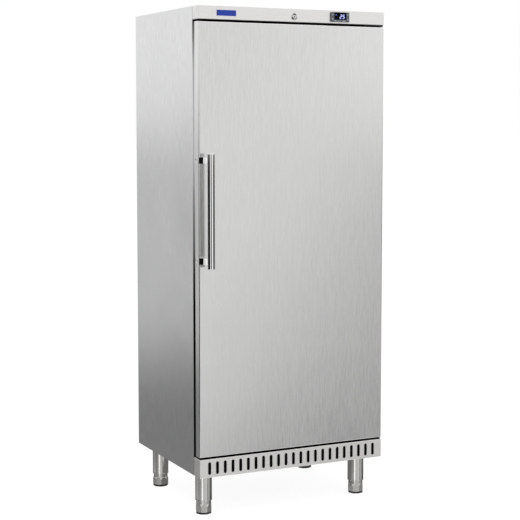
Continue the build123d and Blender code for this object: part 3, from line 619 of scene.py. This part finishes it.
def prism(bm, pts, y0, y1):
    front = [bm.verts.new((x, y1, z)) for x, z in pts]
    back = [bm.verts.new((x, y0, z)) for x, z in pts]
    bm.faces.new(front)
    bm.faces.new(back)
    for k in range(len(pts)):
        k2 = (k + 1) % len(pts)
        bm.faces.new((front[k], front[k2], back[k2], back[k]))


KEY_X = [THX - 32.3, THX + 33.3]
KEY_Z = [1878.5, 1861.5]
KEY_Y = YF - 5.4
marks = {
    "key_up": (KEY_X[0], KEY_Z[0], [[(-3.0, -1.8), (3.0, -1.8), (0, 2.2)]]),
    "key_down": (KEY_X[0], KEY_Z[1], [[(-3.0, 1.8), (3.0, 1.8), (0, -2.2)]]),
    "key_set": (KEY_X[1], KEY_Z[0], [[(-2.4, -1.9), (2.4, -1.9), (2.4, -0.7), (-2.4, -0.7)], [(-2.4, 0.7), (2.4, 0.7), (2.4, 1.9), (-2.4, 1.9)]]),
    "key_light": (KEY_X[1], KEY_Z[1], [[(1.3 * math.cos(k * math.pi / 6), 1.3 * math.sin(k * math.pi / 6)) for k in range(12)]]
                  + [[(math.cos(a) * 1.9 - math.sin(a) * 0.3, math.sin(a) * 1.9 + math.cos(a) * 0.3), (math.cos(a) * 2.8 - math.sin(a) * 0.3, math.sin(a) * 2.8 + math.cos(a) * 0.3),
                      (math.cos(a) * 2.8 + math.sin(a) * 0.3, math.sin(a) * 2.8 - math.cos(a) * 0.3), (math.cos(a) * 1.9 + math.sin(a) * 0.3, math.sin(a) * 1.9 - math.cos(a) * 0.3)]
                     for a in [k * math.pi / 4 for k in range(8)]]),
}
for key, (kx, kz, shapes) in marks.items():
    bm = bmesh.new()
    for pts in shapes:
        prism(bm, [(kx + px, kz + pz) for px, pz in pts], KEY_Y + 0.02, KEY_Y - 0.12)
    make("mark_" + key, bm, M["mark"], key + "_button", 0)

# a printed strip of small bars under the window
bm = bmesh.new()
for bx, bw in ((-23.5, 6.5), (-12.0, 2.4), (-6.2, 2.4), (-0.5, 2.4), (11.5, 11.5)):
    prism(bm, [(THX + bx, 1853.6), (THX + bx + bw, 1853.6), (THX + bx + bw, 1856.6), (THX + bx, 1856.6)], YF - 4.48, YF - 4.62)
make("bezel_marks", bm, M["mark"], "cabinet", 0)


# ================================================================== name plate (bare) and cam lock
PLX, PLZ = -278.5, 1869.5
bm = bmesh.new()
loops = []
for inset, y in ((0.0, YF), (0.0, YF - 0.8), (0.12, YF - 1.05), (0.35, YF - 1.2), (0.75, YF - 1.2), (0.95, YF - 1.1), (1.05, YF - 0.9), (1.05, YF)):
    loops.append([Vector((PLX + px, y, PLZ + pz)) for px, pz in rounded_rect(80 - 2 * inset, 23 - 2 * inset, 2.5 - inset, 6)])
loft(bm, loops, close=True)
rim = make("plate_frame", bm, M["rim"], "cabinet", 35)
bm = bmesh.new()
panel_xz(bm, PLX, PLZ, 77.8, 20.8, 1.4, YF - 0.1, YF - 1.0, 0.2, 6)
field = make("plate_field", bm, M["plate"], "cabinet", 35)
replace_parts(field, "blank_nameplate")

LOCK_Z = 1865.0


def sector(bm, a0, a1, r0, r1, y0, y1, cz, segs=16):
    """Part of a flat ring about the lock's axis."""
    pts = [(r1 * math.cos(math.radians(a0 + (a1 - a0) * k / segs)), r1 * math.sin(math.radians(a0 + (a1 - a0) * k / segs))) for k in range(segs + 1)]
    pts += [(r0 * math.cos(math.radians(a1 - (a1 - a0) * k / segs)), r0 * math.sin(math.radians(a1 - (a1 - a0) * k / segs))) for k in range(segs + 1)]
    prism(bm, [(x, cz + z) for x, z in pts], y0, y1)


def ring_of(bm, profile, centre, segs=96):
    """A closed ring turned about the Y axis from (r, y) points."""
    loops = []
    for rr, y in profile:
        loops.append([Vector((centre[0] + rr * math.cos(2 * math.pi * k / segs), y, centre[1] + rr * math.sin(2 * math.pi * k / segs))) for k in range(segs)])
    loft(bm, loops, close=True)


bm = bmesh.new()
ring_of(bm, [(9.2, -265.0), (9.2, YF + 0.1), (11.5, YF + 0.05), (11.75, YF - 0.2), (11.75, YF - 0.7), (11.55, YF - 1.2), (11.1, YF - 1.7), (10.5, YF - 2.05), (9.9, YF - 2.2), (9.4, YF - 2.15),
             (9.0, YF - 1.8), (8.75, YF - 1.1), (8.65, YF - 0.2), (8.5, YF + 1.2), (7.2, YF + 1.5), (7.05, YF + 1.8), (7.05, -265.0)], (0.0, LOCK_Z))
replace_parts(make("lock_rosette", bm, M["polish"], "cabinet", 40), "lock_housing")
bm = bmesh.new()
ring_of(bm, [(7.1, YF + 1.4), (8.55, YF + 1.2), (8.6, YF - 0.6), (8.3, YF - 0.95), (7.8, YF - 1.05), (7.3, YF - 0.9), (7.1, YF - 0.5)], (0.0, LOCK_Z))
make("lock_ring_seal", bm, M["black"], "cabinet", 40)
bm = bmesh.new()
ring_of(bm, [(11.2, YF - 0.02), (12.25, YF - 0.02), (12.45, YF - 0.25), (12.35, YF - 0.5), (12.0, YF - 0.6), (11.6, YF - 0.5)], (0.0, LOCK_Z))
# black sectors on the washer: painted shade, the dark crescents round the lock
for a0, a1, r0, r1 in ((56, 124, 7.7, 11.4), (194, 248, 7.4, 11.5), (282, 318, 9.6, 11.2)):
    sector(bm, a0, a1, r0, r1, YF - 1.0, YF - 2.32, LOCK_Z)
make("lock_washer_painted_shade", bm, M["shoe"], "cabinet", 40)
# the dust shutter in the keyway
bm = bmesh.new()
lathe(bm, [(0.2, YF - 2.68), (1.7, YF - 2.68), (2.15, YF - 2.72), (2.45, YF - 2.70), (2.6, YF - 2.62), (2.6, YF - 2.3), (0.2, YF - 2.3)], (0, 0, LOCK_Z), "Y", 48)
ux, uz = math.sin(math.radians(28)), math.cos(math.radians(28))
prism(bm, [(1.5 * uz * i + 4.9 * ux * j, LOCK_Z - 1.5 * ux * i + 4.9 * uz * j) for i, j in ((-1, -1), (1, -1), (1, 1), (-1, 1))], YF - 2.3, YF - 2.66)
make("lock_shutter", bm, M["shoe"], "lock", 35)


# ================================================================== strips of painted shade and the filter behind the gaps
# near-black strips under the fascia and on the grille's flange: painted shade that blackens the gaps
bm = bmesh.new()
slab(bm, -386.8, 300.8, -239.6, -231.6, 1838.2, 1850.0, 1.2, 3)
slab(bm, -386.8, 300.8, -284.4, -233.2, 230.05, 231.3, 0.4, 2)
make("gap_shade_strips", bm, M["sponge"], "cabinet", 40)
# trims clipped over the front edges of the side panels, coloured with painted shade below and painted reflected light
# above
bm = bmesh.new()
for sx in (-1, 1):
    a, b = sorted((sx * 388.85, sx * 375.6))
    slab(bm, a, b, -233.4, -229.4, 230.2, 1845.8, 0.35, 2)
make("edge_trims", bm, M["edge"], "cabinet", 40)
# the rear edge of the door, closed with the same trim and its painted shade and light
bm = bmesh.new()
for sx in (-1, 1):
    a, b = sorted((sx * 388.8, sx * 380.0))
    slab(bm, a, b, -249.6, -244.3, D_BOT + 0.6, D_TOP - 0.6, 0.35, 2)
make("door_rear_trims", bm, M["edge"], "door", 40)
# thin black lines of painted shade, standing in for the shade in the seams where the fascia and the grille meet the
# side panels
bm = bmesh.new()
for sx in (-1, 1):
    a, b = sorted((sx * 388.62, sx * 388.0))
    slab(bm, a, b, -231.9, -230.5, 160.4, 230.0, 0.12, 2)
    slab(bm, a, b, -231.9, -230.9, 1846.0, 1893.4, 0.12, 2)
make("seam_shade_lines", bm, M["sponge"], "cabinet", 40)

bm = bmesh.new()
slab(bm, -374.0, 374.0, -284.6, -277.0, 163.0, 228.0, 1.5, 3)
make("dust_filter", bm, M["filter"], "cabinet", 40)


# ================================================================== studio
def stage_mesh(name, verts, faces, material):
    me = bpy.data.meshes.new(name)
    me.from_pydata(verts, [], faces)
    me.materials.append(material)
    o = bpy.data.objects.new(name, me)
    scene.collection.objects.link(o)
    return o


def floor_material():
    """A lit white sweep: mostly its own light, so that only a trace of shadow shows."""
    m = bpy.data.materials.new("floor_pale")
    m.use_nodes = True
    b = m.node_tree.nodes["Principled BSDF"]
    b.inputs["Base Color"].default_value = (0.15, 0.15, 0.15, 1)
    b.inputs["Roughness"].default_value = 0.9
    b.inputs["Specular IOR Level"].default_value = 0.0
    b.inputs["Emission Color"].default_value = (1, 1, 1, 1)
    b.inputs["Emission Strength"].default_value = 0.90
    return m


def card_material(name, radiance):
    m = bpy.data.materials.new(name)
    m.use_nodes = True
    t = m.node_tree
    t.nodes.clear()
    out = t.nodes.new("ShaderNodeOutputMaterial")
    em = t.nodes.new("ShaderNodeEmission")
    em.inputs["Color"].default_value = (radiance, radiance, radiance, 1)
    em.inputs["Strength"].default_value = 1.0
    t.links.new(em.outputs[0], out.inputs["Surface"])
    return m


R = 60.0
floor = stage_mesh("floor", [(-R, -R, 0), (R, -R, 0), (R, R, 0), (-R, R, 0)], [(0, 1, 2, 3)], floor_material())
floor.visible_glossy = False


def card(name, verts, radiance):
    """A studio flag: only reflections see it."""
    o = stage_mesh(name, verts, [tuple(range(len(verts)))], card_material(name, radiance))
    o.visible_camera = False
    o.visible_diffuse = False
    o.visible_transmission = False
    o.visible_volume_scatter = False
    o.visible_shadow = False
    return o


# the dim floor under the cabinet, as the legs mirror it
card("flag_under", [(-0.30, -0.16, 0.0015), (0.30, -0.16, 0.0015), (0.36, 0.33, 0.0015), (-0.36, 0.33, 0.0015)], 0.2)

# What the steel mirrors: soft boxes and dark gaps between them, as turns round the object.
world = bpy.data.worlds.new("studio")
world.use_nodes = True
world.cycles.sampling_method = "NONE"
scene.world = world
wt = world.node_tree
wt.nodes.clear()


def wmath(op, a, b=0.0, c=0.0):
    n = wt.nodes.new("ShaderNodeMath")
    n.operation = op
    for i, v in enumerate((a, b, c)):
        if isinstance(v, (int, float)):
            n.inputs[i].default_value = v
        else:
            wt.links.new(v, n.inputs[i])
    return n.outputs[0]


def wstep(v, a, b):
    n = wt.nodes.new("ShaderNodeMapRange")
    n.interpolation_type = "SMOOTHSTEP"
    n.inputs["From Min"].default_value = a
    n.inputs["From Max"].default_value = b
    wt.links.new(v, n.inputs["Value"])
    return n.outputs["Result"]


def wramp(v, stops):
    n = wt.nodes.new("ShaderNodeValToRGB")
    r = n.color_ramp
    r.interpolation = "LINEAR"
    for e, (deg, level) in ((r.elements[0], stops[0]), (r.elements[1], stops[-1])):
        e.position = deg / 360.0 + 0.5
        e.color = (level, level, level, 1)
    for deg, level in stops[1:-1]:
        r.elements.new(deg / 360.0 + 0.5).color = (level, level, level, 1)
    wt.links.new(v, n.inputs["Fac"])
    return n.outputs["Color"]


def wfall(v, lo, hi, stops):
    """A ramp over v from lo to hi, its stops given in the units of v."""
    n = wt.nodes.new("ShaderNodeMapRange")
    n.inputs["From Min"].default_value = lo
    n.inputs["From Max"].default_value = hi
    wt.links.new(v, n.inputs["Value"])
    return wramp(n.outputs["Result"], [((t - lo) / (hi - lo) * 360.0 - 180.0, level) for t, level in stops])


def wband(v, a, b, c, d):
    """1 between b and c, fading to 0 at a and d."""
    return wmath("MULTIPLY", wstep(v, a, b), wmath("SUBTRACT", 1.0, wstep(v, c, d)))


def wmix(f, a, b):
    """a where f is 0, b where f is 1."""
    n = wt.nodes.new("ShaderNodeMix")
    n.data_type = "RGBA"
    n.clamp_result = False
    for sock, v in ((n.inputs[0], f), (n.inputs[6], a), (n.inputs[7], b)):
        if isinstance(v, (int, float)):
            sock.default_value = v if sock is n.inputs[0] else (v, v, v, 1)
        else:
            wt.links.new(v, sock)
    return n.outputs[2]


sep = wt.nodes.new("ShaderNodeSeparateXYZ")
wt.links.new(wt.nodes.new("ShaderNodeTexCoord").outputs["Generated"], sep.inputs[0])
turn_deg = wmath("DEGREES", wmath("ARCTAN2", sep.outputs[0], wmath("MULTIPLY", sep.outputs[1], -1.0)))
turn01 = wmath("MULTIPLY_ADD", turn_deg, 1 / 360.0, 0.5)
el = wmath("DEGREES", wmath("ARCSINE", sep.outputs[2]))
# level with the handle
ring_a = wramp(turn01, [(-180, 0.03), (-168, 0.03), (-150, 0.02), (-56, 0.01), (-52, 1.0), (-35, 1.0), (-32, 0.02), (-8, 0.02), (-5, 0.95), (12, 0.95), (34, 0.9), (36, 0.5), (39, 0.06), (60, 0.06), (66, 0.12), (84, 0.14), (97, 0.4), (112, 0.6), (130, 0.8), (150, 0.6), (158, 0.03), (180, 0.03)])
# between the handle and the foot of the door
ring_m = wramp(turn01, [(-180, 0.3), (-154, 0.2), (-151, 0.005), (-52, 0.005), (-48, 1.2), (-28, 1.2), (-24, 0.7), (10, 0.7), (34, 0.55), (62, 0.5), (84, 0.35), (97, 0.4), (130, 0.5), (180, 0.3)])
# low, as the legs mirror it
ring_b = wramp(turn01, [(-180, 0.30), (-146, 0.40), (-138, 0.56), (-118, 0.60), (-102, 0.54), (-94, 0.40), (-84, 0.40), (-76, 0.55), (-64, 0.56), (-53, 0.60), (-47, 0.62), (-45, 2.3), (-38, 2.3), (-36, 0.76), (10, 0.74), (24, 0.62), (40, 0.55), (62, 0.46), (74, 0.30), (80, 0.03), (124, 0.03), (135, 0.5), (175, 0.35), (180, 0.30)])
# above: a broad light ceiling, stronger on the right
ring_c = wramp(turn01, [(-180, 1.03), (-60, 1.03), (-5, 0.95), (23, 0.90), (26, 0.91), (28, 0.95), (32, 1.14), (60, 1.25), (120, 1.1), (180, 1.03)])
low = wmix(wstep(el, -7.6, -6.4), ring_m, ring_a)
low = wmix(wstep(el, -14.2, -13.3), ring_b, low)
# in front, a wash that fades downwards and to the right
slope = wmath("ADD", wmath("MULTIPLY", el, -1.0), wmath("MULTIPLY", wmath("SUBTRACT", turn_deg, 27.5), 1.5))
lefter = wmath("MAXIMUM", wmath("SUBTRACT", 27.0, turn_deg), 0.0)
slope = wmath("SUBTRACT", slope, wmath("MULTIPLY", lefter, 1.1))
wash = wfall(slope, -4.0, 24.0, [(-4.0, 0.965), (0.0, 0.955), (2.0, 0.95), (3.2, 0.935), (5.4, 0.88), (7.5, 0.76), (9.7, 0.67), (11.9, 0.607), (14.0, 0.553), (16.2, 0.515), (18.5, 0.43), (24.0, 0.34)])
foot = wfall(wmath("ADD", el, wmath("MULTIPLY", lefter, 0.6)), -18.0, -10.0, [(-18.0, 0.60), (-15.0, 0.62), (-13.4, 0.67), (-11.8, 0.89), (-10.0, 1.0)])
low = wmix(wband(turn_deg, 8.0, 14.0, 33.0, 35.0), low, wmath("MULTIPLY", wash, foot))
# beside: three steps of brightness, ceiling, wall and floor
beside = wfall(el, -16.0, 0.0, [(-16.0, 0.245), (-12.2, 0.24), (-11.2, 0.265), (-10.0, 0.47), (-8.8, 0.70), (-7.8, 0.745), (-2.6, 0.735), (0.0, 0.75)])
low = wmix(wband(turn_deg, -168.0, -164.0, -152.0, -149.0), low, beside)
low = wmix(wstep(el, -26.0, -19.0), 0.60, low)
low = wmix(wstep(el, -60.0, -45.0), 1.15, low)
glossy = wmix(wstep(el, -2.2, 1.4), low, wmix(wstep(el, 35.0, 55.0), ring_c, 1.5))
lp = wt.nodes.new("ShaderNodeLightPath")
level = wmix(lp.outputs["Is Glossy Ray"], 1.0, glossy)
w_bg = wt.nodes.new("ShaderNodeBackground")
wt.links.new(level, w_bg.inputs["Color"])
w_bg.inputs["Strength"].default_value = 1.0
w_out = wt.nodes.new("ShaderNodeOutputWorld")
wt.links.new(w_bg.outputs[0], w_out.inputs["Surface"])


def area(name, location, target, size, power, size_y=None):
    d = bpy.data.lights.new(name, "AREA")
    d.energy = power
    d.shape = "RECTANGLE"
    d.size = size
    d.size_y = size_y or size
    o = bpy.data.objects.new(name, d)
    scene.collection.objects.link(o)
    o.location = location
    o.rotation_mode = "QUATERNION"
    o.rotation_quaternion = (Vector(target) - Vector(location)).to_track_quat("-Z", "Y")
    o.visible_glossy = False
    return o


area("key", (-2.5, -3.5, 4.2), (0, 0, 0.9), 3.0, 60)

scene.view_settings.view_transform = "Standard"
scene.view_settings.look = "None"
scene.view_settings.exposure = 0.0
scene.view_settings.gamma = 1.0
